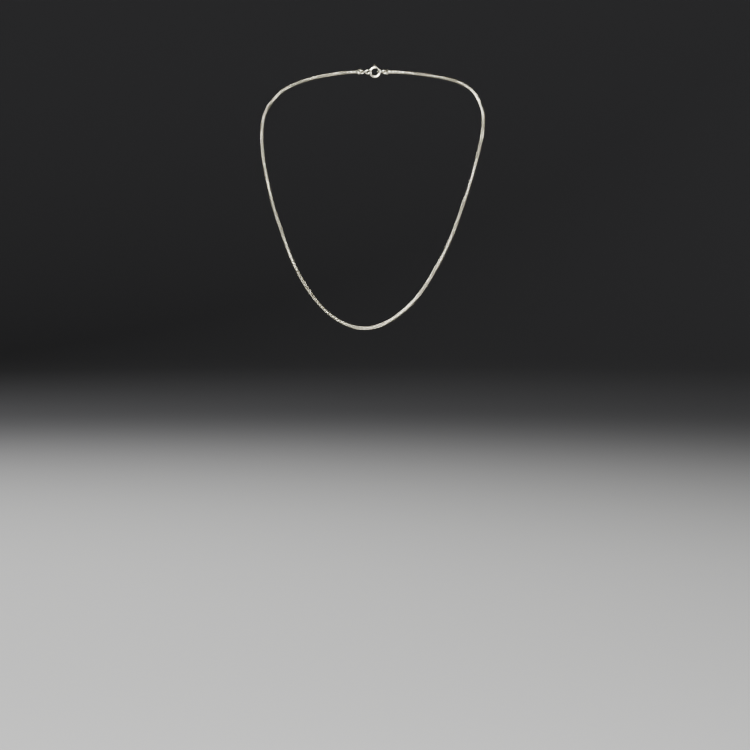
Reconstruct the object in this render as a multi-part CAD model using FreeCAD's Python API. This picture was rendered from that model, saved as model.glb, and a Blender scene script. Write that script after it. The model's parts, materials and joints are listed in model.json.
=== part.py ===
import FreeCAD, Part
import math
import os
from FreeCAD import Vector

# An 18 inch box-chain necklace in the shape it takes around a neck, in millimetres.
# X runs to the right for someone facing the wearer, -Y points at that person, and +Z is up.
# The origin is the middle of the neck, a little above the line where the front starts to hang.

# ---- chain link: a square ring bent from strip that is flat outside and domed inside
LINK_SIZE = 1.50
BAND_WIDTH = 0.70
WALL_CREST = 0.30
WALL_EDGE = 0.15
CORNER_RADIUS = 0.40
LINK_GAP = 0.03
PITCH = LINK_SIZE - 2 * WALL_CREST - LINK_GAP

# ---- how the links lie: each is turned a quarter turn on the last, plus a slow roll
ROLL_MIDDLE = 22.0
ROLL_SWING = 24.0
ROLL_WAVE = 37.0
ROLL_PHASE = 95.0

# ---- soldered connector on each end of the chain: a square cap with a loop
CAP_WALL = 0.25
CAP_DEPTH = 0.80
CAP_PLATE = 0.30
LOOP_RADIUS = 0.75
LOOP_WIRE = 0.25
LOOP_SUNK = 0.12

# ---- jump rings: radius to the wire's centre, and the wire's own radius
SMALL_RING_RADIUS = 1.25
SMALL_RING_WIRE = 0.30
LARGE_RING_RADIUS = 1.60
LARGE_RING_WIRE = 0.33
RING_GAP = 0.05

# ---- spring ring clasp: a ring of tube with a sliding gate and a coil spring inside
CLASP_RADIUS = 2.40
TUBE_RADIUS = 0.65
TUBE_BORE = 0.43
EYE_RADIUS = 0.95
EYE_WIRE = 0.30
EYE_SUNK = 0.15
GATE_RADIUS = 0.40
KNOB_RADIUS = 0.18
KNOB_TOP = 1.15
KNOB_HEAD_RADIUS = 0.34
KNOB_HEAD_HEIGHT = 0.30
SLOT_WIDTH = 0.44
SPRING_RADIUS = 0.30
SPRING_WIRE = 0.10
SPRING_TURNS = 12
SPRING_POINTS_PER_TURN = 8

# ---- angles around the clasp, in degrees from +X towards +Z
MOUTH_START = 35.0
MOUTH_END = 85.0
GATE_START = 32.0
GATE_END = 140.0
KNOB_ANGLE = 99.0
SLOT_START = 94.0
SLOT_END = 156.0
SPRING_START = 142.0
SPRING_END = 336.0
STOP_START = 338.0
STOP_END = 348.0

# ---- route of the chain, from the clasp's left end to its right end
NAPE_Y = 36.0
NAPE_Z = 28.6
FRONT_Y = -36.0
LEFT_NECK = [
    (-20.0, 33.5, 27.4),
    (-32.0, 27.5, 25.0),
    (-40.9, 19.5, 21.7),
    (-46.8, 10.0, 17.8),
    (-50.0, 0.5, 14.0),
    (-51.6, -8.0, 11.6),
    (-52.6, -17.0, 9.4),
    (-53.3, -26.0, 7.2),
    (-53.9, -33.0, 4.0),
]
LEFT_FRONT = [
    (-54.4, -2.0),
    (-54.3, -7.5),
    (-53.8, -13.5),
    (-51.8, -24.6),
    (-49.1, -36.5),
    (-45.4, -48.3),
    (-41.3, -60.1),
    (-35.8, -72.0),
    (-28.0, -83.8),
    (-22.5, -89.7),
    (-14.2, -95.2),
]
LOWEST_POINT = (-4.4, -97.7)
RIGHT_FRONT = [
    (6.2, -95.1),
    (14.3, -89.7),
    (20.5, -83.8),
    (28.7, -72.0),
    (35.2, -60.1),
    (40.2, -48.3),
    (44.3, -36.5),
    (48.2, -24.6),
    (51.3, -12.8),
    (53.5, -2.5),
]
RIGHT_NECK = [
    (54.2, -32.8, 5.0),
    (54.0, -26.0, 8.8),
    (53.5, -17.0, 11.4),
    (52.7, -8.0, 14.2),
    (50.9, 1.0, 17.6),
    (47.8, 10.0, 20.7),
    (42.0, 18.8, 23.8),
    (33.0, 26.8, 26.0),
    (20.5, 33.3, 27.8),
]

# ---- hinge lines, each joining a left and a right interlink at one height or depth
FRONT_TOP = -2.0
FRONT_STEP = 6.6
FRONT_HINGE_HEIGHTS = [FRONT_TOP - FRONT_STEP * level for level in range(13)] + [-87.0, -91.5]
BACK_HINGE_DEPTHS = [-16.0, -4.0, 8.0, 19.0, 28.5]

AXIS_X = Vector(1, 0, 0)
AXIS_Y = Vector(0, 1, 0)
AXIS_Z = Vector(0, 0, 1)
ORIGIN = Vector(0, 0, 0)
PARALLEL_TOLERANCE = 1e-6


# ---------------------------------------------------------------- clasp layout along X at the nape
def linked_step(radius_a, wire_a, radius_b, wire_b):
    """Distance between the centres of two rings that hang in each other, pulled straight."""
    return radius_a + radius_b - wire_a - wire_b - RING_GAP


LOOP_REACH = (LINK_SIZE - PITCH) / 2 + CAP_PLATE - LOOP_SUNK + LOOP_WIRE + LOOP_RADIUS
EYE_OFFSET = CLASP_RADIUS + TUBE_RADIUS + EYE_RADIUS - EYE_SUNK
LOOP_TO_SMALL = linked_step(LOOP_RADIUS, LOOP_WIRE, SMALL_RING_RADIUS, SMALL_RING_WIRE)
SMALL_TO_EYE = linked_step(SMALL_RING_RADIUS, SMALL_RING_WIRE, EYE_RADIUS, EYE_WIRE)
CLASP_TO_LARGE = linked_step(CLASP_RADIUS, TUBE_RADIUS, LARGE_RING_RADIUS, LARGE_RING_WIRE)
LARGE_TO_LOOP = linked_step(LARGE_RING_RADIUS, LARGE_RING_WIRE, LOOP_RADIUS, LOOP_WIRE)
LOOP_TO_LOOP = LOOP_TO_SMALL + SMALL_TO_EYE + EYE_OFFSET + CLASP_TO_LARGE + LARGE_TO_LOOP
NAPE_HALF = LOOP_TO_LOOP / 2 + LOOP_REACH
SMALL_RING_X = LOOP_TO_SMALL - LOOP_TO_LOOP / 2
EYE_X = SMALL_RING_X + SMALL_TO_EYE
CLASP_X = EYE_X + EYE_OFFSET
LARGE_RING_X = CLASP_X + CLASP_TO_LARGE


def nape_point(x):
    """A point on the straight line that the clasp lies on."""
    return Vector(x, NAPE_Y, NAPE_Z)


# ---------------------------------------------------------------- route
def route_curve():
    """The smooth centre line of the chain, whose two ends point at the clasp."""
    points = [nape_point(-NAPE_HALF)] + [Vector(*p) for p in LEFT_NECK]
    points += [Vector(x, FRONT_Y, z) for x, z in LEFT_FRONT + [LOWEST_POINT] + RIGHT_FRONT]
    points += [Vector(*p) for p in RIGHT_NECK] + [nape_point(NAPE_HALF)]
    curve = Part.BSplineCurve()
    curve.interpolate(Points=points, InitialTangent=-AXIS_X, FinalTangent=-AXIS_X, Scale=False)
    return curve


def interlink_points(curve):
    """The points where neighbouring links bear on each other, one pitch apart."""
    count = round(curve.length() / PITCH)
    return curve.discretize(Number=count + 1)


def direction(points, index):
    """Unit vector along link number index."""
    return (points[index + 1] - points[index]).normalize()


def carried_normals(points):
    """A direction square to each link, carried along the chain without twisting from the lowest link."""
    last = len(points) - 2
    lowest = min(range(last + 1), key=lambda i: points[i].z + points[i + 1].z)
    normals = {lowest: Vector(AXIS_Y)}
    for step in (1, -1):
        index = lowest
        while 0 <= index + step <= last:
            turn = FreeCAD.Rotation(direction(points, index), direction(points, index + step))
            normals[index + step] = turn.multVec(normals[index])
            index += step
    return normals


def hinge_pairs(points):
    """Left and right interlink of every hinge line: those of the front, then those of the back."""
    lowest = min(range(len(points)), key=lambda i: points[i].z)
    neck_top = FRONT_TOP + FRONT_STEP
    sides = (range(lowest), range(lowest, len(points)))
    front = []
    for height in FRONT_HINGE_HEIGHTS:
        pair = [min(side, key=lambda i: abs(points[i].z - height)) for side in sides]
        front.append(pair)
    back = []
    for depth in BACK_HINGE_DEPTHS:
        behind = [[i for i in side if points[i].z > neck_top] for side in sides]
        pair = [min(side, key=lambda i: abs(points[i].y - depth)) for side in behind]
        back.append(pair)
    return front, back


# ---------------------------------------------------------------- chain
def link_solid():
    """One link at the origin: it runs along X, and its opening faces along Z."""
    half_band = BAND_WIDTH / 2
    crest = LINK_SIZE / 2 - WALL_CREST
    edge = LINK_SIZE / 2 - WALL_EDGE
    corner = Vector(-LINK_SIZE / 2, -LINK_SIZE / 2, -half_band)
    block = Part.makeBox(LINK_SIZE, LINK_SIZE, BAND_WIDTH, corner)
    block = block.makeFillet(CORNER_RADIUS, edges_along(block, AXIS_Z))
    left = Part.Arc(Vector(-edge, 0, -half_band), Vector(-crest, 0, 0), Vector(-edge, 0, half_band))
    right = Part.Arc(Vector(edge, 0, half_band), Vector(crest, 0, 0), Vector(edge, 0, -half_band))
    top = Part.LineSegment(left.EndPoint, right.StartPoint)
    bottom = Part.LineSegment(right.EndPoint, left.StartPoint)
    outline = Part.Wire([part.toShape() for part in (left, top, right, bottom)])
    slab = Part.Face(outline).extrude(Vector(0, 2 * LINK_SIZE, 0))
    slab.translate(Vector(0, -LINK_SIZE, 0))
    crossed = slab.copy()
    crossed.rotate(ORIGIN, AXIS_Z, 90)
    return block.cut(slab.common(crossed))


def edges_along(shape, axis):
    """The straight edges of a shape that run along an axis."""
    found = []
    for edge in shape.Edges:
        span = edge.Vertexes[-1].Point - edge.Vertexes[0].Point
        if span.Length > PARALLEL_TOLERANCE and span.cross(axis).Length < PARALLEL_TOLERANCE:
            found.append(edge)
    return found


def roll_angle(index):
    """Slow roll of the chain about its own length, in degrees."""
    wave = 2 * math.pi * index * PITCH / ROLL_WAVE
    return ROLL_MIDDLE + ROLL_SWING * math.sin(wave + math.radians(ROLL_PHASE))


def link_placement(points, normals, index):
    """Where link number index sits: between two interlinks, a quarter turn from its neighbours."""
    along = direction(points, index)
    frame = FreeCAD.Rotation(along, normals[index].cross(along), normals[index], "XZY")
    roll = FreeCAD.Rotation(AXIS_X, 90 * (index % 2) + roll_angle(index))
    return FreeCAD.Placement((points[index] + points[index + 1]) / 2, frame.multiply(roll))


def chain_nodes(points, normals, front, back):
    """The runs of links between hinge lines, each a group of separate solids, by node name."""
    link = link_solid()

    def run(start, end):
        links = []
        for index in range(min(start, end), max(start, end)):
            piece = link.copy()
            piece.Placement = link_placement(points, normals, index)
            links.append(piece)
        return Part.makeCompound(links)

    nodes = {"chain_bottom": run(*front[-1])}
    ends = (0, len(points) - 1)
    for side, name in enumerate(("left", "right")):
        nodes[f"chain_neck_{name}"] = run(back[0][side], front[0][side])
        nodes[f"chain_nape_{name}"] = run(back[-1][side], ends[side])
        for level in range(len(front) - 1):
            nodes[f"chain_front_{name}_{level + 1:02d}"] = run(front[level][side], front[level + 1][side])
        for level in range(len(back) - 1):
            nodes[f"chain_back_{name}_{level + 1}"] = run(back[level][side], back[level + 1][side])
    return nodes


# ---------------------------------------------------------------- connectors and jump rings
def connector_cap():
    """The cap over the last link, in that link's own frame, closed on its -X side."""
    outer = LINK_SIZE + 2 * CAP_WALL
    cap_length = CAP_DEPTH + CAP_PLATE
    cap = Part.makeBox(cap_length, outer, outer, Vector(-LINK_SIZE / 2 - CAP_PLATE, -outer / 2, -outer / 2))
    cap = cap.makeFillet(CAP_WALL, edges_along(cap, AXIS_X))
    corner = Vector(-LINK_SIZE / 2, -LINK_SIZE / 2, -LINK_SIZE / 2)
    hollow = Part.makeBox(CAP_DEPTH, LINK_SIZE, LINK_SIZE, corner)
    return cap.cut(hollow)


def end_connector(placement, side):
    """The connector on one end of the chain; side is -1 on the left and 1 on the right."""
    cap = connector_cap()
    if side > 0:
        cap.rotate(ORIGIN, AXIS_Z, 180)
    cap.Placement = placement.multiply(cap.Placement)
    loop = Part.makeTorus(LOOP_RADIUS, LOOP_WIRE, nape_point(side * LOOP_TO_LOOP / 2), AXIS_Y)
    return cap.fuse(loop)


def jump_ring(radius, wire, x):
    """A closed round ring that lies flat, square to the rings beside it."""
    return Part.makeTorus(radius, wire, nape_point(x), AXIS_Z)


# ---------------------------------------------------------------- spring ring clasp
def on_clasp(angle, radius=CLASP_RADIUS):
    """A point around the clasp's centre, which is at the origin until the clasp is placed."""
    turn = math.radians(angle)
    return Vector(radius * math.cos(turn), 0, radius * math.sin(turn))


def swept(face, start, end):
    """A face drawn at angle 0, carried round the clasp from one angle to another."""
    face.rotate(ORIGIN, AXIS_Y, -start)
    return face.revolve(ORIGIN, -AXIS_Y, end - start)


def round_arc(radius, start, end):
    """A round rod of the given radius, bent round the clasp."""
    circle = Part.Wire(Part.makeCircle(radius, on_clasp(0), AXIS_Z))
    return swept(Part.Face(circle), start, end)


def clasp_body():
    """The tube, open at the mouth, slotted outside for the knob, and crimped shut past the spring."""
    end = MOUTH_START + 360
    tube = round_arc(TUBE_RADIUS, MOUTH_END, end).cut(round_arc(TUBE_BORE, MOUTH_END, end))
    half = SLOT_WIDTH / 2
    outer = CLASP_RADIUS + 2 * TUBE_RADIUS
    corners = [(CLASP_RADIUS, -half), (outer, -half), (outer, half), (CLASP_RADIUS, half)]
    outline = Part.makePolygon([Vector(x, y, 0) for x, y in corners + corners[:1]])
    slot = swept(Part.Face(outline), SLOT_START, SLOT_END)
    return tube.cut(slot).fuse(round_arc(TUBE_BORE, STOP_START, STOP_END))


def clasp_eye():
    """The closed ring soldered to the back of the tube, fitted to it."""
    eye = Part.makeTorus(EYE_RADIUS, EYE_WIRE, Vector(-EYE_OFFSET, 0, 0), AXIS_Y)
    return eye.cut(Part.makeTorus(CLASP_RADIUS, TUBE_RADIUS, ORIGIN, AXIS_Y))


def knob_shank():
    return Part.makeCylinder(KNOB_RADIUS, KNOB_TOP, on_clasp(KNOB_ANGLE), on_clasp(KNOB_ANGLE))


def clasp_knob():
    """The headed pin riveted into the gate, which the thumb pushes along the slot."""
    head_base = on_clasp(KNOB_ANGLE, CLASP_RADIUS + KNOB_TOP - KNOB_HEAD_HEIGHT)
    head = Part.makeCylinder(KNOB_HEAD_RADIUS, KNOB_HEAD_HEIGHT, head_base, head_base)
    return knob_shank().fuse(head)


def clasp_gate():
    """The curved rod that closes the mouth, with a round nose and a hole for the knob."""
    nose = Part.makeSphere(GATE_RADIUS, on_clasp(GATE_START))
    rod = round_arc(GATE_RADIUS, GATE_START, GATE_END)
    return rod.fuse(nose).cut(knob_shank())


def clasp_spring():
    """The coil spring in the tube, between the gate's tail and the crimp."""
    steps = SPRING_TURNS * SPRING_POINTS_PER_TURN
    path = []
    for step in range(steps + 1):
        around = SPRING_START + (SPRING_END - SPRING_START) * step / steps
        coil = 2 * math.pi * step / SPRING_POINTS_PER_TURN
        point = on_clasp(around, CLASP_RADIUS + SPRING_RADIUS * math.cos(coil))
        point.y = SPRING_RADIUS * math.sin(coil)
        path.append(point)
    curve = Part.BSplineCurve()
    curve.interpolate(path)
    start = curve.tangent(curve.FirstParameter)[0]
    quarters = [Part.makeCircle(SPRING_WIRE, path[0], start, turn, turn + 90) for turn in (0, 90, 180, 270)]
    return Part.Wire(curve.toShape()).makePipeShell([Part.Wire(quarters)], True, True)


def clasp_nodes():
    nodes = {
        "clasp_body": clasp_body(),
        "clasp_eye": clasp_eye(),
        "clasp_gate": clasp_gate(),
        "clasp_knob": clasp_knob(),
        "clasp_spring": clasp_spring(),
    }
    for shape in nodes.values():
        shape.translate(nape_point(CLASP_X))
    return nodes


# ---------------------------------------------------------------- the whole necklace
def build():
    """Every node of the necklace, by name."""
    points = interlink_points(route_curve())
    normals = carried_normals(points)
    front, back = hinge_pairs(points)
    nodes = chain_nodes(points, normals, front, back)
    nodes["end_connector_left"] = end_connector(link_placement(points, normals, 0), -1)
    nodes["end_connector_right"] = end_connector(link_placement(points, normals, len(points) - 2), 1)
    nodes["jump_ring_small"] = jump_ring(SMALL_RING_RADIUS, SMALL_RING_WIRE, SMALL_RING_X)
    nodes["jump_ring_large"] = jump_ring(LARGE_RING_RADIUS, LARGE_RING_WIRE, LARGE_RING_X)
    nodes.update(clasp_nodes())
    return nodes


if __name__ == "__main__":
    os.makedirs("parts", exist_ok=True)
    for name, shape in build().items():
        shape.exportStep(f"parts/{name}.step")
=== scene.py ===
import bmesh
import bpy
import cmath
import json
import math
import random
from mathutils import Matrix, Vector


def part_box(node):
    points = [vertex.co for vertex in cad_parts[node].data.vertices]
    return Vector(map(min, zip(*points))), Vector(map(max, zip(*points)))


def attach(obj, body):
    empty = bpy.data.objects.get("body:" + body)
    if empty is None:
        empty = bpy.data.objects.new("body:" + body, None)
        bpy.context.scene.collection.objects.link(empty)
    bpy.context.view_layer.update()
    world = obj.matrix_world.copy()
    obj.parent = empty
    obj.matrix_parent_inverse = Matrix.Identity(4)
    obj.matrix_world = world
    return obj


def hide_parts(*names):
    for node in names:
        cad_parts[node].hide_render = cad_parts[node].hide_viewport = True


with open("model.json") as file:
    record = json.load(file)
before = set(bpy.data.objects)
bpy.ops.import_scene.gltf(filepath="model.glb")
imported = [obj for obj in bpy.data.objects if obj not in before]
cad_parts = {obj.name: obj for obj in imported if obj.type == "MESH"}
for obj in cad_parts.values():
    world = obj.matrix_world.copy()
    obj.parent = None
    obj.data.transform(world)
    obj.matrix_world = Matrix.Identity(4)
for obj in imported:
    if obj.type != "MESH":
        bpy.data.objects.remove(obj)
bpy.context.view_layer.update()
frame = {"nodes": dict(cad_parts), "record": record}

# The frame is in metres. Sizes below are in millimetres and are scaled once, by MM.
MM = 0.001
random.seed(7)

# ---- box link: half sizes and the D-shaped section of its band.
# A link is drawn 0.007 smaller than it is, so that facets of neighbours don't touch at a joint's limit.
LINK_HALF = 0.743
LINK_CORNER = 0.40
OPENING_HALF = 0.457
OPENING_CORNER = 0.12
CORNER_STEPS = 5
# each link's own small roll about the chain, at most
LINK_PLAY = math.radians(0.5)
# (depth into the wall, from 0 outside to 1 at the inner crest; place across the band)
BAND_HALF_SECTION = [
    (0.00, 0.00), (0.045, 0.12), (0.15, 0.23), (0.30, 0.315), (0.46, 0.35),
    (0.566, 0.33), (0.767, 0.25), (0.95, 0.12), (1.00, 0.00),
]
# ---- the solder seam across one side of each link
SEAM_SIDE = 1
SEAM_PLACES = [-0.05, -0.02, 0.02, 0.05]
SEAM_HALF_WIDTH = 0.03
# the seam's depth, as a share of the wall
SEAM_DEPTH = 0.05
# how dark a groove is, for each unit of its depth
SEAM_SHADE = 8

# ---- fittings
CAP_HALF = 1.00
CAP_CORNER = 0.25
CAP_PLATE = 0.30
CAVITY_HALF = 0.75
# (distance into the chain from the cavity's floor, half size, corner radius)
CAP_PROFILE = [
    (0.00, CAVITY_HALF, 0.08), (0.74, CAVITY_HALF, 0.08), (0.80, 0.79, 0.12), (0.80, 0.92, 0.18),
    (0.775, 0.975, 0.23), (0.72, CAP_HALF, CAP_CORNER), (-0.20, CAP_HALF, CAP_CORNER),
    (-0.265, 0.975, 0.23), (-CAP_PLATE, 0.92, 0.18),
]
# (distance from the cavity's floor towards the loop, radius)
SOLDER_PROFILE = [
    (CAP_PLATE - 0.02, 0.46), (CAP_PLATE + 0.02, 0.40), (CAP_PLATE + 0.07, 0.30), (CAP_PLATE + 0.14, 0.22),
]
# rings are (radius to the wire's centre, the wire's own radius)
LOOP = (0.75, 0.25)
SMALL_RING = (1.25, 0.30)
LARGE_RING = (1.60, 0.33)
# where each jump ring's solder seam is, in degrees round it
SMALL_RING_SEAM = 100
LARGE_RING_SEAM = 250
# the fine groove of such a seam: places across it and its width in radians, its depth and darkness
RING_SEAM_OFFSETS = (-0.045, -0.02, 0.0, 0.02, 0.045)
RING_SEAM_WIDTH = 0.02
RING_SEAM_DIP = 0.07
RING_SEAM_SHADE = 0.6
# painted shade on the side of a ring's wire that faces its middle
RING_INSIDE_SHADE = 0.25

# ---- clasp, with its angles in degrees from +X towards +Z
CLASP_RADIUS = 2.40
TUBE_RADIUS = 0.65
TUBE_BORE = 0.43
# (degrees from the mouth, outer radius, inner radius) of its rolled lips
TUBE_LIPS = [(0.0, 0.575, 0.50), (0.35, 0.62, 0.455), (1.0, 0.645, 0.435), (1.8, TUBE_RADIUS, TUBE_BORE)]
# degrees from the mouth to the first plain row of the tube, on the slot's side
TUBE_PLAIN_FROM = 4
# painted shade in the tube's bore
TUBE_INSIDE_SHADE = 0.9
EYE = (0.95, 0.30)
EYE_SEAM = 90
# how far the eye reaches into the tube's wall
EYE_BITE = 0.05
GATE_RADIUS = 0.40
GATE_ANGLES = (32.0, 140.0)
MOUTH_ANGLES = (35.0, 85.0)
SLOT_ANGLES = (94.0, 156.0)
SLOT_HALF = 0.22
KNOB_ANGLE = 99.0
KNOB_SHANK = 0.18
KNOB_TOP = 1.15
KNOB_HEAD = 0.34
KNOB_HEAD_HEIGHT = 0.30
KNOB_NECK = KNOB_TOP - KNOB_HEAD_HEIGHT
# (height above the tube's centre line, radius)
KNOB_PROFILE = [
    (0.30, KNOB_SHANK), (KNOB_NECK - 0.03, KNOB_SHANK), (KNOB_NECK, KNOB_SHANK + 0.03),
    (KNOB_NECK + 0.005, 0.29), (KNOB_NECK + 0.04, KNOB_HEAD), (KNOB_TOP - 0.06, KNOB_HEAD),
    (KNOB_TOP - 0.015, 0.30), (KNOB_TOP, 0.22),
]
KNURL = 0.06
SPRING_RADIUS = 0.30
SPRING_WIRE = 0.10
SPRING_TURNS = 12
SPRING_ANGLES = (142.0, 336.0)
# painted shade on the spring, which lies inside the tube
SPRING_SHADE = 0.3
# the rolled tube's seam, inside the ring: half its width in radians, and its depth
SEAM_HALF_ANGLE = 0.07
SEAM_GROOVE = 0.025

# ---- metal: colour, darker colour painted in its recesses as shade and tarnish, roughness where smooth and where scratched, scratch strength
POLISHED_SILVER = ((0.955, 0.912, 0.715), (0.13, 0.109, 0.076), 0.10, 0.32, 0.10)
BRIGHT_SILVER = ((0.955, 0.915, 0.735), (0.20, 0.173, 0.127), 0.07, 0.24, 0.07)
SPRING_STEEL = ((0.60, 0.60, 0.61), (0.25, 0.25, 0.25), 0.18, 0.40, 0.30)
# the dullest link's colour, as a share of the brightest's
DULLEST_LINK = 0.87
# the painted shade and tarnish of the recesses lie in patches: their fineness, the noise levels between which
# they fade, and their faintest
PATCH_SCALE = 260.0
PATCH_DETAIL = 4.0
PATCH_LEVELS = (0.3, 0.7)
FAINTEST_PATCH = 0.55
# scratches: their fineness, stretch and height in metres
SCRATCH_SCALE = 3200.0
SCRATCH_DETAIL = 3.0
SCRATCH_STRETCH = (1.0, 0.25, 3.0)
SCRATCH_HEIGHT = 0.00002
RECESS_DULLING = 0.5

# ---- mesh fineness
RING_STEPS = 64
RING_SIDES = 20
COIL_STEPS = 18
WIRE_SIDES = 8
NOSE_STEPS = 5
# the first ring of the gate's nose lies this part of a step from its tip
NOSE_TIP = 0.3
GATE_STEPS = 28
GATE_SIDES = 24
KNOB_SIDES = 28
SOLDER_SIDES = 24
TUBE_HALF_SIDES = 8
TUBE_STEPS = (3, 16, 56)
AXIS_SQUARINGS = 5

# ---- stage: a round floor, then a quarter-circle sweep up to a wall
STAGE_FLOOR_RINGS = (400.0, 1200.0)
STAGE_RADIUS = 1900.0
STAGE_SWEEP = 600.0
STAGE_WALL = 2200.0
STAGE_SIDES = 96
SWEEP_STEPS = 12
# a painted pool of light: the paper is pale up to the first distance from the origin and painted dark, as
# shade, from the second
PAPER_PALE_TO = 300.0
PAPER_DARK_FROM = 1500.0
FLOOR_COLOUR = (0.40, 0.40, 0.395)
FAR_PAINTED_SHADE_COLOUR = (0.032, 0.032, 0.034)
PAPER_ROUGHNESS = 0.9
PAPER_NOISE_SCALE = 3.0
PAPER_NOISE_SHIFT = 0.05
FLOOR_Z = -281.0

# ---- lamps: name, place, (width, height), power in watts
LAMPS = [
    ("key_lamp", (-240.0, -1560.0, 400.0), (380.0, 320.0), 78.0),
    ("fill_lamp", (1300.0, -1300.0, 400.0), (420.0, 420.0), 9.0),
    ("top_lamp", (80.0, 460.0, 1000.0), (300.0, 300.0), 3.0),
    ("back_lamp", (-850.0, 1150.0, 620.0), (400.0, 400.0), 30.0),
]
LAMP_AIM = (0.0, -20.0, -40.0)
ROOM_COLOUR = (1.0, 0.98, 0.95)
ROOM_STRENGTH = 0.06

# ---- camera
FRONT_Y = -36.0
VIEW_CENTRE = (1.0, FRONT_Y, -120.8)
VIEW_WIDTH = 369.7
VIEW_ELEVATION = 5.0
LENS = 150.0
SENSOR = 36.0
# nearest and farthest distance seen, in metres
CLIP = (0.05, 20.0)


# ================================================================ reading the frame
BODY_OF = {n: body for body, members in frame["record"]["behaviour"]["bodies"].items() for n in members}


def islands(node):
    """The vertices of each separate solid of a CAD node, as lists of points in metres."""
    bm = bmesh.new()
    bm.from_mesh(frame["nodes"][node].data)
    bmesh.ops.remove_doubles(bm, verts=bm.verts, dist=1e-7)
    seen = set()
    found = []
    for start in bm.verts:
        if start in seen:
            continue
        seen.add(start)
        stack = [start]
        group = []
        while stack:
            vert = stack.pop()
            group.append(vert.co.copy())
            for edge in vert.link_edges:
                other = edge.other_vert(vert)
                if other not in seen:
                    seen.add(other)
                    stack.append(other)
        found.append(group)
    bm.free()
    return found


def flattest_axis(points, centre):
    """The direction in which a link is thinnest, by repeated squaring of its spread matrix."""
    spread = Matrix(((0, 0, 0), (0, 0, 0), (0, 0, 0)))
    for p in points:
        d = (p - centre) / MM
        for r in range(3):
            for c in range(3):
                spread[r][c] += d[r] * d[c]
    inverse = spread.inverted()
    for _ in range(AXIS_SQUARINGS):
        inverse = inverse @ inverse
        biggest = max(abs(inverse[r][c]) for r in range(3) for c in range(3))
        inverse = inverse * (1 / biggest)
    columns = [inverse.col[k] for k in range(3)]
    return max(columns, key=lambda v: v.length).normalized()


def link_frames():
    """For each chain node, the placement of every link: X along the chain, Z through its opening.
    The direction of the nearest neighbours is turned to the link's own sides, found from its points'
    fourfold symmetry."""
    raw = []
    for node in sorted(frame["nodes"]):
        if not node.startswith("chain_"):
            continue
        for points in islands(node):
            centre = sum(points, Vector()) / len(points)
            raw.append((node, points, centre))
    placements = {}
    for node, points, centre in raw:
        ranked = sorted((other for _, _, other in raw), key=lambda c: (c - centre).length)
        first, second = ranked[1], ranked[2]
        one_sided = (first - centre).dot(second - centre) > 0
        along = first - centre if one_sided else first - second
        through = flattest_axis(points, centre)
        along = (along - through * along.dot(through)).normalized()
        side = through.cross(along)
        moment = 0
        for p in points:
            d = (p - centre) / MM
            moment += complex(d.dot(along), d.dot(side)) ** 4
        turn = cmath.phase(moment) / 4
        step = math.pi / 4
        turn -= step * round(turn / step)
        along = along * math.cos(turn) + side * math.sin(turn)
        side = through.cross(along)
        matrix = Matrix((along, side, through)).transposed().to_4x4()
        placements.setdefault(node, []).append(Matrix.Translation(centre) @ matrix)
    return placements


# ================================================================ mesh helpers
def new_piece(name, verts, faces, material, **shades):
    """A smooth mesh object from points in metres. shades are attributes, one number for each point."""
    mesh = bpy.data.meshes.new(name)
    mesh.from_pydata([tuple(v) for v in verts], [], faces)
    mesh.polygons.foreach_set("use_smooth", [True] * len(mesh.polygons))
    for shade, values in shades.items():
        layer = mesh.attributes.new(shade, "FLOAT", "POINT")
        layer.data.foreach_set("value", values)
    piece = bpy.data.objects.new(name, mesh)
    bpy.context.scene.collection.objects.link(piece)
    mesh.materials.append(material)
    return piece


def grid_faces(rows, columns, close_rows):
    """Quads over points stored row by row. Each row is a closed ring, and the rows can close up too."""
    faces = []
    for r in range(rows if close_rows else rows - 1):
        here = r * columns
        beyond = (r + 1) % rows * columns
        for c in range(columns):
            c2 = (c + 1) % columns
            faces.append((here + c, beyond + c, beyond + c2, here + c2))
    return faces


def joined(parts):
    """Several (points, faces, shades) as one."""
    verts, faces, shades = [], [], []
    for points, quads, shade in parts:
        base = len(verts)
        verts += points
        faces += [tuple(i + base for i in face) for face in quads]
        shades += shade
    return verts, faces, shades


# ================================================================ the chain
def round_corner(half, corner, step):
    """A point on the corner arc of a square of that half size, step of CORNER_STEPS along it."""
    angle = math.pi / 2 * step / CORNER_STEPS
    centre = half - corner
    return Vector((centre + corner * math.cos(angle), centre + corner * math.sin(angle)))


def link_stations():
    """Around a link: the outer point, the inner point and how deep the solder seam lies there."""
    stations = []
    straight = LINK_HALF - LINK_CORNER
    squeeze = (OPENING_HALF - OPENING_CORNER) / straight
    for side in range(4):
        turn = Matrix.Rotation(side * math.pi / 2, 2)
        places = [-straight, *(SEAM_PLACES if side == SEAM_SIDE else []), straight]
        for place in places:
            outer = Vector((LINK_HALF, place))
            inner = Vector((OPENING_HALF, place * squeeze))
            seam = SEAM_DEPTH if abs(place) < SEAM_HALF_WIDTH else 0.0
            stations.append((turn @ outer, turn @ inner, seam))
        for step in range(1, CORNER_STEPS):
            outer = round_corner(LINK_HALF, LINK_CORNER, step)
            inner = round_corner(OPENING_HALF, OPENING_CORNER, step)
            stations.append((turn @ outer, turn @ inner, 0.0))
    return stations


def link_template():
    """One link at the origin, in millimetres: points, quads and how recessed each point is, which the metal
    paints darker as shade.
    """
    section = BAND_HALF_SECTION + [(deep, -across) for deep, across in BAND_HALF_SECTION[-2:0:-1]]
    points = []
    recess = []
    for outer, inner, seam in link_stations():
        for deep, across in section:
            sunk = min(1.0, deep + seam * (1 - deep))
            flat = outer.lerp(inner, sunk)
            points.append(Vector((flat.x, flat.y, across)))
            # painted shade grows with depth into the link; the solder seam's groove is drawn dark
            recess.append(min(1.0, deep + SEAM_SHADE * seam * (1 - deep)))
    stations = len(points) // len(section)
    return points, grid_faces(stations, len(section), True), recess


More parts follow.
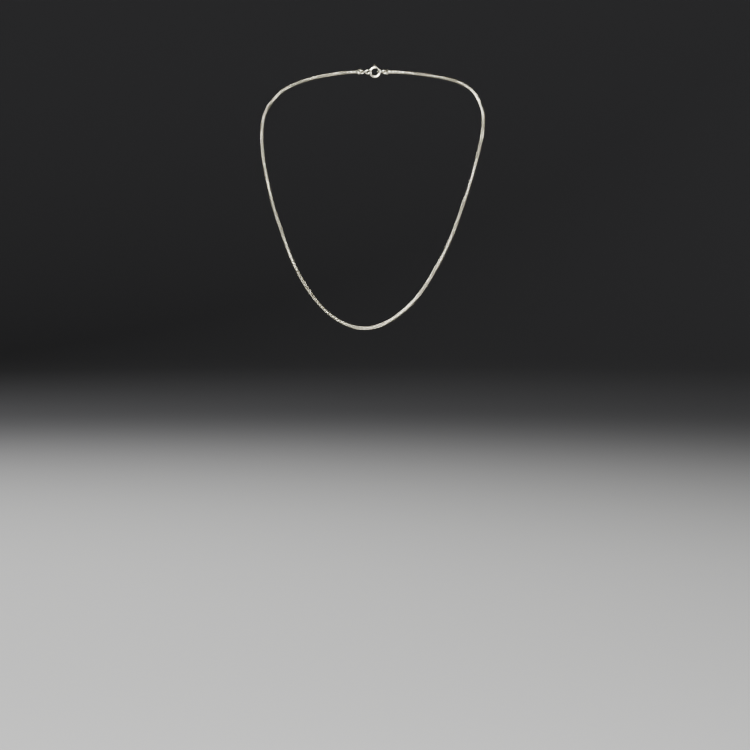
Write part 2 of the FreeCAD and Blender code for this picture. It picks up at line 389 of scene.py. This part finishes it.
def chain_piece(node, placements, template, material):
    """The detailed links of one CAD node, as one piece."""
    points, quads, recess = template
    parts = []
    tints = []
    for placement in placements:
        flip = Matrix.Rotation(math.pi * random.randrange(2), 4, "X")
        play = Matrix.Rotation(random.uniform(-LINK_PLAY, LINK_PLAY), 4, "X")
        seat = placement @ play @ flip @ Matrix.Scale(MM, 4)
        parts.append(([seat @ p for p in points], quads, recess))
        tints += [random.random()] * len(points)
    verts, faces, shades = joined(parts)
    piece = new_piece(node + "_links", verts, faces, material, recess=shades, tint=tints)
    settle(piece, node)


def settle(piece, node):
    """Puts a piece on the body of the node it replaces, and hides that node."""
    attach(piece, BODY_OF[node])
    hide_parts(node)


# ================================================================ rings, rods and turned parts
def ring_points(radius, wire, plane, seam=None):
    """A round ring about the origin in the plane of two unit vectors, with a fine solder seam."""
    angles = [2 * math.pi * k / RING_STEPS for k in range(RING_STEPS)]
    if seam is not None:
        angles = sorted(angles + [seam + offset for offset in RING_SEAM_OFFSETS])
    first, second = plane
    normal = first.cross(second)
    points = []
    shades = []
    for angle in angles:
        outward = first * math.cos(angle) + second * math.sin(angle)
        dip = math.exp(-((angle - seam) / RING_SEAM_WIDTH) ** 2) if seam is not None else 0.0
        for side in range(RING_SIDES):
            around = 2 * math.pi * side / RING_SIDES
            reach = wire * (1 - RING_SEAM_DIP * dip)
            points.append(outward * (radius + reach * math.cos(around)) + normal * reach * math.sin(around))
            # painted shade: the side of the wire facing the ring's middle is darkened; the seam is drawn dark
            inside = (1 - math.cos(around)) / 2
            shades.append(max(RING_INSIDE_SHADE * inside, RING_SEAM_SHADE * dip))
    return points, grid_faces(len(angles), RING_SIDES, True), shades


def capped_tube(rings, shade=0.0):
    """A solid through closed rings of points, with flat ends."""
    sides = len(rings[0])
    faces = grid_faces(len(rings), sides, False)
    faces.append(tuple(reversed(range(sides))))
    faces.append(tuple(range((len(rings) - 1) * sides, len(rings) * sides)))
    points = [p for ring in rings for p in ring]
    return points, faces, [shade] * len(points)


def around_clasp(angle, radius, offset=0.0):
    """A point round the clasp's centre, degrees from +X towards +Z."""
    turn = math.radians(angle)
    return Vector((radius * math.cos(turn), offset, radius * math.sin(turn)))


def clasp_ring(angle, thickness, sides):
    """A circle of points across the clasp's tube."""
    ring = []
    for side in range(sides):
        around = 2 * math.pi * side / sides
        reach = CLASP_RADIUS + thickness * math.cos(around)
        ring.append(around_clasp(angle, reach, thickness * math.sin(around)))
    return ring


def turned(profile, base, axis, sides, knurl=0.0):
    """A turned part: profile is (height, radius) along axis from base. Its widest part can be knurled."""
    first = axis.orthogonal().normalized()
    second = axis.cross(first)
    rings = []
    for height, radius in profile:
        ring = []
        for side in range(sides):
            around = 2 * math.pi * side / sides
            reach = radius * (1 - knurl * (side % 2)) if radius >= KNOB_HEAD else radius
            ring.append(base + axis * height + (first * math.cos(around) + second * math.sin(around)) * reach)
        rings.append(ring)
    return capped_tube(rings)


def fitting(name, node, parts, centre, material):
    """A piece of a node, made of several closed shells given in millimetres about a centre in metres."""
    verts, faces, shades = joined(parts)
    verts = [centre + v * MM for v in verts]
    piece = new_piece(name, verts, faces, material, recess=shades, tint=[0.5] * len(verts))
    outward_normals(piece)
    settle(piece, node)
    return piece


def trim(piece, shell, centre):
    """Cuts away what of a piece lies inside a closed shell, given in millimetres about a centre."""
    points, faces, _ = shell
    cutter = new_piece("cutter", [centre + p * MM for p in points], faces, piece.data.materials[0])
    outward_normals(cutter)
    cut = piece.modifiers.new("cut", "BOOLEAN")
    cut.operation = "DIFFERENCE"
    cut.object = cutter
    view = bpy.context.evaluated_depsgraph_get()
    piece.data = bpy.data.meshes.new_from_object(piece.evaluated_get(view))
    piece.modifiers.clear()
    bpy.data.objects.remove(cutter)


def outward_normals(piece):
    """Turns the faces of each closed shell to face outwards."""
    bm = bmesh.new()
    bm.from_mesh(piece.data)
    bmesh.ops.recalc_face_normals(bm, faces=bm.faces)
    bm.to_mesh(piece.data)
    bm.free()


# ================================================================ connectors and jump rings
def square_ring(x, half, corner):
    """A rounded square of points across the chain at x along it."""
    ring = []
    for side in range(4):
        turn = Matrix.Rotation(side * math.pi / 2, 2)
        for step in range(CORNER_STEPS + 1):
            flat = turn @ round_corner(half, corner, step)
            ring.append(Vector((x, flat.x, flat.y)))
    return ring


def end_connector(name, node, link, outward, centre_line, material):
    """The square cap soldered on the last link, its loop, and the solder between them.
    link is the last link's placement, and outward the unit vector from the chain to the clasp."""
    low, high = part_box(node)
    tip = high.x if outward.x > 0 else low.x
    loop_centre = Vector((tip - outward.x * (LOOP[0] + LOOP[1]) * MM, centre_line.y, centre_line.z))
    along = link.col[0].to_3d().normalized()
    if along.dot(outward) > 0:
        along = -along
    side = link.col[1].to_3d().normalized()
    floor = link.to_translation() - along * CAVITY_HALF * MM
    seat = Matrix((along, side, along.cross(side))).transposed()
    shell, faces, shades = capped_tube([square_ring(*row) for row in CAP_PROFILE])
    to_loop = (loop_centre - floor) / MM
    solder = turned(SOLDER_PROFILE, Vector(), to_loop.normalized(), SOLDER_SIDES)
    loop, loop_faces, loop_shades = ring_points(*LOOP, (Vector((1, 0, 0)), Vector((0, 0, 1))))
    parts = [
        ([seat @ p for p in shell], faces, shades),
        solder,
        ([p + to_loop for p in loop], loop_faces, loop_shades),
    ]
    fitting(name, node, parts, floor, material)


def jump_ring(name, node, size, seam, material):
    """A round ring lying level, with its solder seam at that many degrees round it."""
    low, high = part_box(node)
    plane = (Vector((1, 0, 0)), Vector((0, 1, 0)))
    fitting(name, node, [ring_points(*size, plane, math.radians(seam))], (low + high) / 2, material)


# ================================================================ spring ring clasp
def tube_columns(bore):
    """Angles round the tube's section, the first three spanning the slot."""
    edge = math.asin(SLOT_HALF / bore)
    span = math.pi - SEAM_HALF_ANGLE - edge
    rest = [edge + span * k / TUBE_HALF_SIDES for k in range(1, TUBE_HALF_SIDES + 1)]
    return [-edge, 0.0, edge] + rest + [math.pi] + [2 * math.pi - a for a in reversed(rest)]


def tube_rows():
    """(angle round the clasp, outer radius, inner radius), with rolled lips at the mouth."""
    start, end = MOUTH_ANGLES[1], MOUTH_ANGLES[0] + 360
    rows = [(start + turn, outer, inner) for turn, outer, inner in TUBE_LIPS]
    before_slot = (start + TUBE_PLAIN_FROM, SLOT_ANGLES[0])
    after_slot = (SLOT_ANGLES[1], end - TUBE_LIPS[-1][0])
    for (first, last), steps in zip((before_slot, SLOT_ANGLES, after_slot), TUBE_STEPS):
        for step in range(steps):
            rows.append((first + (last - first) * step / steps, TUBE_RADIUS, TUBE_BORE))
    rows += [(end - turn, outer, inner) for turn, outer, inner in reversed(TUBE_LIPS)]
    return rows


def clasp_tube():
    """The hollow ring with its open mouth, its slot and the rolled seam inside. Its points are stored
    row by row, all of the outer wall first and then all of the bore."""
    rows = tube_rows()
    outer_columns, inner_columns = tube_columns(TUBE_RADIUS), tube_columns(TUBE_BORE)
    count = len(outer_columns)
    points = []
    shades = []
    for layer, columns in ((1, outer_columns), (2, inner_columns)):
        for row in rows:
            for column in columns:
                seam = SEAM_GROOVE if layer == 1 and column == math.pi else 0.0
                reach = row[layer] - seam
                radius = CLASP_RADIUS + reach * math.cos(column)
                points.append(around_clasp(row[0], radius, reach * math.sin(column)))
                # painted shade over the whole bore; the rolled seam's groove is drawn dark
                shades.append(TUBE_INSIDE_SHADE if layer == 2 else SEAM_SHADE * seam)
    inner = len(rows) * count
    slot_rows = [r for r, row in enumerate(rows) if SLOT_ANGLES[0] <= row[0] <= SLOT_ANGLES[1]]
    first, last = slot_rows[0], slot_rows[-1]
    faces = []
    # the outer wall and the bore, both left open over the slot
    for start in (0, inner):
        for r in range(len(rows) - 1):
            for c in range(count):
                if first <= r < last and c < 2:
                    continue
                c2 = (c + 1) % count
                base = start + r * count
                faces.append((base + c, base + count + c, base + count + c2, base + c2))
    # the two rims of the mouth
    for r in (0, len(rows) - 1):
        for c in range(count):
            c2 = (c + 1) % count
            faces.append((r * count + c, r * count + c2, inner + r * count + c2, inner + r * count + c))
    # the long edges of the slot, and then its ends
    for r in range(first, last):
        for c in (0, 2):
            a, b = r * count + c, (r + 1) * count + c
            faces.append((a, b, inner + b, inner + a))
    for r in (first, last):
        for c in (0, 1):
            a = r * count + c
            faces.append((a, a + 1, inner + a + 1, inner + a))
    return points, faces, shades


def spring_coil():
    """The coil spring, wound round the tube's centre line."""
    steps = SPRING_TURNS * COIL_STEPS
    start, end = SPRING_ANGLES
    angles = [start + (end - start) * step / steps for step in range(steps + 1)]
    path = []
    for step, angle in enumerate(angles):
        coil = 2 * math.pi * step / COIL_STEPS
        radius = CLASP_RADIUS + SPRING_RADIUS * math.cos(coil)
        path.append(around_clasp(angle, radius, SPRING_RADIUS * math.sin(coil)))
    rings = []
    for step, point in enumerate(path):
        tangent = (path[min(step + 1, steps)] - path[max(step - 1, 0)]).normalized()
        centre = around_clasp(angles[step], CLASP_RADIUS)
        first = (point - centre).cross(tangent).normalized()
        second = tangent.cross(first)
        ring = []
        for side in range(WIRE_SIDES):
            around = 2 * math.pi * side / WIRE_SIDES
            ring.append(point + (first * math.cos(around) + second * math.sin(around)) * SPRING_WIRE)
        rings.append(ring)
    # the whole spring gets painted shade, as it lies inside the tube
    return capped_tube(rings, SPRING_SHADE)


def gate_rod():
    """The sliding gate: a bent rod with a rounded nose."""
    start, end = GATE_ANGLES
    reach = math.degrees(math.asin(GATE_RADIUS / CLASP_RADIUS))
    rings = []
    for step in range(NOSE_STEPS):
        turn = math.pi / 2 * (1 - (step + NOSE_TIP) / NOSE_STEPS)
        rings.append(clasp_ring(start - reach * math.sin(turn), GATE_RADIUS * math.cos(turn), GATE_SIDES))
    for step in range(GATE_STEPS + 1):
        rings.append(clasp_ring(start + (end - start) * step / GATE_STEPS, GATE_RADIUS, GATE_SIDES))
    return capped_tube(rings)


def clasp_pieces(silver, steel):
    """The five parts of the clasp. Its centre is found from the box of the CAD's tube."""
    low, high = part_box("clasp_body")
    middle = (low + high) / 2
    centre = Vector((middle.x, middle.y, low.z + (CLASP_RADIUS + TUBE_RADIUS) * MM))
    flat = (Vector((1, 0, 0)), Vector((0, 0, 1)))
    fitting("clasp_tube", "clasp_body", [clasp_tube()], centre, silver)
    eye_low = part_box("clasp_eye")[0]
    eye_centre = Vector((eye_low.x + sum(EYE) * MM, centre.y, centre.z))
    eye_ring = ring_points(*EYE, flat, math.radians(EYE_SEAM))
    eye = fitting("clasp_eye_ring", "clasp_eye", [eye_ring], eye_centre, silver)
    trim(eye, ring_points(CLASP_RADIUS, TUBE_RADIUS - EYE_BITE, flat), centre)
    fitting("clasp_gate_rod", "clasp_gate", [gate_rod()], centre, silver)
    outward = around_clasp(KNOB_ANGLE, 1.0)
    knob = turned(KNOB_PROFILE, outward * CLASP_RADIUS, outward, KNOB_SIDES, knurl=KNURL)
    fitting("clasp_thumb_knob", "clasp_knob", [knob], centre, silver)
    fitting("clasp_coil_spring", "clasp_spring", [spring_coil()], centre, steel)


# ================================================================ materials
def new_material(name):
    """A material with its node tree and its one shader."""
    mat = bpy.data.materials.new(name)
    mat.use_nodes = True
    return mat, mat.node_tree, mat.node_tree.nodes["Principled BSDF"]


def add(tree, kind, inputs=(), **settings):
    """A new node with these settings, and with inputs set from (name or place, value) pairs."""
    node = tree.nodes.new(kind)
    for setting, value in settings.items():
        setattr(node, setting, value)
    for key, value in inputs:
        node.inputs[key].default_value = value
    return node


def polished_metal(name, bright, tarnish_and_shade, smooth, rough, scratch):
    """Polished metal: darker in its recesses, where painted shade is mixed with patchy tarnish, and duller
    there, with fine scratches and slight unevenness.
    The attributes are recess, from 0 on the open surface to 1 deep inside, and tint, from 0 to 1."""
    mat, tree, shader = new_material(name)
    link = tree.links.new
    shader.inputs["Metallic"].default_value = 1.0

    where = add(tree, "ShaderNodeTexCoord")
    recess = add(tree, "ShaderNodeAttribute", attribute_name="recess")
    tint = add(tree, "ShaderNodeAttribute", attribute_name="tint")

    stain = add(tree, "ShaderNodeTexNoise", [("Scale", PATCH_SCALE), ("Detail", PATCH_DETAIL)])
    link(where.outputs["Object"], stain.inputs["Vector"])
    low, high = PATCH_LEVELS
    levels = [("From Min", low), ("From Max", high), ("To Min", FAINTEST_PATCH)]
    patchy = add(tree, "ShaderNodeMapRange", levels)
    link(stain.outputs["Fac"], patchy.inputs["Value"])
    # how much painted shade and tarnish: the recess, in patches
    shade_and_tarnish_amount = add(tree, "ShaderNodeMath", operation="MULTIPLY")
    link(recess.outputs["Fac"], shade_and_tarnish_amount.inputs[0])
    link(patchy.outputs["Result"], shade_and_tarnish_amount.inputs[1])

    dullest = [c * DULLEST_LINK for c in bright]
    uneven = add(tree, "ShaderNodeMix", [("A", (*dullest, 1)), ("B", (*bright, 1))], data_type="RGBA")
    link(tint.outputs["Fac"], uneven.inputs["Factor"])
    # painted shade: the recesses take a darker colour, mixed with tarnish
    colour = add(tree, "ShaderNodeMix", [("B", (*tarnish_and_shade, 1))], data_type="RGBA")
    link(uneven.outputs["Result"], colour.inputs["A"])
    link(shade_and_tarnish_amount.outputs["Value"], colour.inputs["Factor"])
    link(colour.outputs["Result"], shader.inputs["Base Color"])

    stretch = add(tree, "ShaderNodeMapping", [("Scale", SCRATCH_STRETCH)])
    link(where.outputs["Object"], stretch.inputs["Vector"])
    scratches = add(tree, "ShaderNodeTexNoise", [("Scale", SCRATCH_SCALE), ("Detail", SCRATCH_DETAIL)])
    link(stretch.outputs["Vector"], scratches.inputs["Vector"])
    dull = add(tree, "ShaderNodeMapRange", [("To Min", smooth), ("To Max", rough)])
    dulling = add(tree, "ShaderNodeMath", operation="MULTIPLY_ADD", inputs=[(1, RECESS_DULLING)])
    link(recess.outputs["Fac"], dulling.inputs[0])
    link(scratches.outputs["Fac"], dulling.inputs[2])
    link(dulling.outputs["Value"], dull.inputs["Value"])
    link(dull.outputs["Result"], shader.inputs["Roughness"])

    bump = add(tree, "ShaderNodeBump", [("Strength", scratch), ("Distance", SCRATCH_HEIGHT)])
    link(scratches.outputs["Fac"], bump.inputs["Height"])
    link(bump.outputs["Normal"], shader.inputs["Normal"])
    return mat


def paper_with_painted_falloff(name):
    """Matt seamless studio paper with a painted pool of light: pale where the object stands and deepening to
    charcoal far from it, as painted shade.
    """
    mat, tree, shader = new_material(name)
    link = tree.links.new
    shader.inputs["Roughness"].default_value = PAPER_ROUGHNESS
    where = add(tree, "ShaderNodeTexCoord")
    reach = add(tree, "ShaderNodeVectorMath", operation="LENGTH")
    link(where.outputs["Object"], reach.inputs[0])
    noise = add(tree, "ShaderNodeTexNoise", [("Scale", PAPER_NOISE_SCALE)])
    uneven = add(tree, "ShaderNodeMath", operation="MULTIPLY_ADD", inputs=[(1, PAPER_NOISE_SHIFT)])
    link(noise.outputs["Fac"], uneven.inputs[0])
    link(reach.outputs["Value"], uneven.inputs[2])
    # painted light falloff: pale near the object, dark far from it
    distances = [("From Min", PAPER_PALE_TO * MM), ("From Max", PAPER_DARK_FROM * MM)]
    fade = add(tree, "ShaderNodeMapRange", distances, interpolation_type="SMOOTHSTEP")
    link(uneven.outputs["Value"], fade.inputs["Value"])
    ends = [("A", (*FLOOR_COLOUR, 1)), ("B", (*FAR_PAINTED_SHADE_COLOUR, 1))]
    mix = add(tree, "ShaderNodeMix", ends, data_type="RGBA")
    link(fade.outputs["Result"], mix.inputs["Factor"])
    link(mix.outputs["Result"], shader.inputs["Base Color"])
    return mat


# ================================================================ stage, light and camera
def stage():
    """A round seamless floor whose edge sweeps up on every side."""
    profile = [(radius, 0.0) for radius in (*STAGE_FLOOR_RINGS, STAGE_RADIUS)]
    for step in range(1, SWEEP_STEPS + 1):
        angle = math.pi / 2 * step / SWEEP_STEPS
        profile.append((STAGE_RADIUS + STAGE_SWEEP * math.sin(angle), STAGE_SWEEP * (1 - math.cos(angle))))
    profile.append((STAGE_RADIUS + STAGE_SWEEP, STAGE_WALL))
    points = []
    for radius, height in profile:
        for side in range(STAGE_SIDES):
            angle = 2 * math.pi * side / STAGE_SIDES
            points.append(Vector((radius * math.cos(angle), radius * math.sin(angle), FLOOR_Z + height)) * MM)
    faces = [tuple(range(STAGE_SIDES))] + grid_faces(len(profile), STAGE_SIDES, False)
    floor = new_piece("floor", points, faces, paper_with_painted_falloff("studio_paper_painted_falloff"))
    outward_normals(floor)


def soft_box(name, place, target, size, power):
    """A soft studio lamp at place, in millimetres, turned to face target."""
    lamp = bpy.data.lights.new(name, "AREA")
    lamp.shape = "RECTANGLE"
    lamp.size, lamp.size_y = size[0] * MM, size[1] * MM
    lamp.energy = power
    obj = bpy.data.objects.new(name, lamp)
    obj.location = Vector(place) * MM
    obj.rotation_euler = (Vector(target) - Vector(place)).to_track_quat("-Z", "Y").to_euler()
    bpy.context.scene.collection.objects.link(obj)


def lights():
    """The studio lamps, and a little light from the room."""
    for name, place, size, power in LAMPS:
        soft_box(name, place, LAMP_AIM, size, power)
    world = bpy.data.worlds.new("studio")
    world.use_nodes = True
    background = world.node_tree.nodes["Background"]
    background.inputs["Color"].default_value = (*ROOM_COLOUR, 1)
    background.inputs["Strength"].default_value = ROOM_STRENGTH
    bpy.context.scene.world = world


def camera():
    """Level with the middle of the view, a little above, at the distance that makes it VIEW_WIDTH wide."""
    data = bpy.data.cameras.new("camera")
    data.lens = LENS
    data.sensor_width = SENSOR
    distance = LENS * VIEW_WIDTH / SENSOR
    tilt = math.radians(VIEW_ELEVATION)
    back = Vector((0.0, -math.cos(tilt), math.sin(tilt)))
    obj = bpy.data.objects.new("camera", data)
    obj.location = (Vector(VIEW_CENTRE) + back * distance) * MM
    obj.rotation_euler = (-back).to_track_quat("-Z", "Y").to_euler()
    data.clip_start, data.clip_end = CLIP
    bpy.context.scene.collection.objects.link(obj)
    bpy.context.scene.camera = obj


# ================================================================ the necklace
def build():
    """Every piece of the necklace, each on the body of the CAD node that it replaces."""
    silver = polished_metal("polished_silver", *POLISHED_SILVER)
    bright = polished_metal("bright_silver", *BRIGHT_SILVER)
    steel = polished_metal("spring_steel", *SPRING_STEEL)
    placements = link_frames()
    template = link_template()
    for node in sorted(placements):
        chain_piece(node, placements[node], template, silver)
    ring_low, ring_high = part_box("jump_ring_small")
    centre_line = (ring_low + ring_high) / 2
    for side, outward in (("left", Vector((1, 0, 0))), ("right", Vector((-1, 0, 0)))):
        nape = placements[f"chain_nape_{side}"]
        last = min(nape, key=lambda m: abs(m.to_translation().x))
        node = f"end_connector_{side}"
        end_connector(f"soldered_end_{side}", node, last, outward, centre_line, bright)
    jump_ring("small_jump_ring", "jump_ring_small", SMALL_RING, SMALL_RING_SEAM, bright)
    jump_ring("large_jump_ring", "jump_ring_large", LARGE_RING, LARGE_RING_SEAM, bright)
    clasp_pieces(bright, steel)


build()
stage()
lights()
camera()
